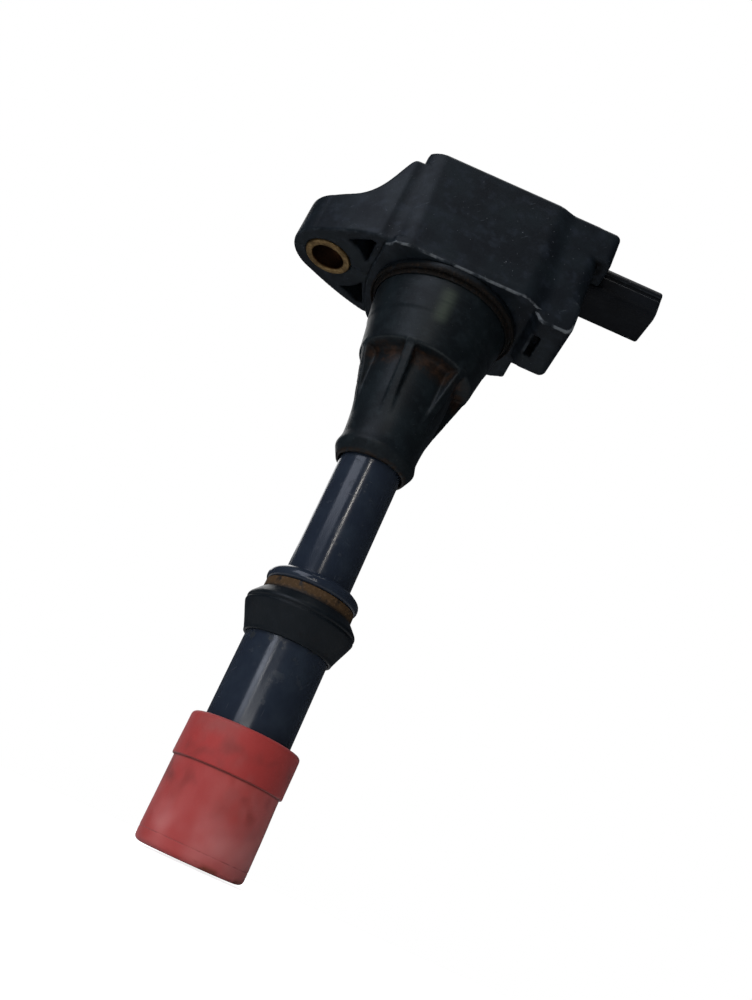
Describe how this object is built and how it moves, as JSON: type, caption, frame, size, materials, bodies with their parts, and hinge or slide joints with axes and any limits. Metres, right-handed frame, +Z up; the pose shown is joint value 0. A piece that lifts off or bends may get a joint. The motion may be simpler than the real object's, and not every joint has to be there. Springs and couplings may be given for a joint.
{
  "type": "ignition coil",
  "caption": "Plug-top ignition coil: potted head with a bolt ear and side connector, ribbed high-tension tower, extension tube with well seal, and a silicone boot over the spark plug.",
  "frame": {"origin": "middle of the boot mouth, on the spark plug axis, where the coil sits over the plug", "axes": "+Z up the plug axis from the boot to the head, +X from the bolt ear towards the connector"},
  "size_m": [0.0796, 0.0338, 0.149],
  "materials": {
    "case_plastic": "moulded glass-filled PBT, satin black, worn edges",
    "tower_plastic": "moulded glass-filled PBT, satin black, oily dirt under the shoulder",
    "tube_plastic": "glossy black phenolic tube, fine scuffs",
    "seal_rubber": "moulded black EPDM rubber, satin",
    "boot_silicone": "dusty red silicone rubber",
    "bush_brass": "turned brass, brown in the bore",
    "contact_brass": "stamped and turned brass",
    "tinned_brass": "tin-plated brass",
    "spring_steel": "drawn stainless spring wire",
    "core_steel": "stacked silicon-steel laminations",
    "ferrite_magnet": "sintered ferrite magnet, dark grey",
    "bobbin_plastic": "moulded natural PBT",
    "copper_wire": "enamelled copper wire",
    "potting_resin": "cast black epoxy resin",
    "module_epoxy": "transfer-moulded epoxy",
    "heat_sink_aluminium": "stamped aluminium plate",
    "resistor_ceramic": "fired ceramic body"
  },
  "bodies": {
    "coil_body": {"coil_case": "case_plastic", "mounting_bush": "bush_brass", "potting_resin": "potting_resin", "connector_shroud": "case_plastic", "terminal_pin_1": "tinned_brass", "terminal_pin_2": "tinned_brass", "terminal_pin_3": "tinned_brass", "igniter_module": "module_epoxy", "heat_sink": "heat_sink_aluminium", "outer_core": "core_steel", "centre_core": "core_steel", "core_magnet": "ferrite_magnet", "primary_bobbin": "bobbin_plastic", "primary_winding": "copper_wire", "secondary_bobbin": "bobbin_plastic", "secondary_winding_1": "copper_wire", "secondary_winding_2": "copper_wire", "secondary_winding_3": "copper_wire", "secondary_winding_4": "copper_wire", "secondary_winding_5": "copper_wire", "hv_tower": "tower_plastic", "plug_well_seal": "seal_rubber", "hv_link": "contact_brass", "hv_terminal": "contact_brass", "resistor_cap_upper": "contact_brass", "noise_resistor": "resistor_ceramic", "resistor_cap_lower": "contact_brass", "contact_spring": "spring_steel", "upper_tube": "tube_plastic", "lower_tube": "tube_plastic", "mid_seal": "seal_rubber", "spark_plug_boot": "boot_silicone"},
    "contact": {"contact_tip": "contact_brass"}
  },
  "joints": [
    {"name": "contact_press", "type": "slide", "parent": "coil_body", "child": "contact", "axis": [0, 0, 1], "range_m": [0, 0.005], "stiffness_N_per_m": 800, "springref_m": -0.001, "deforming": ["contact_spring"]}
  ]
}
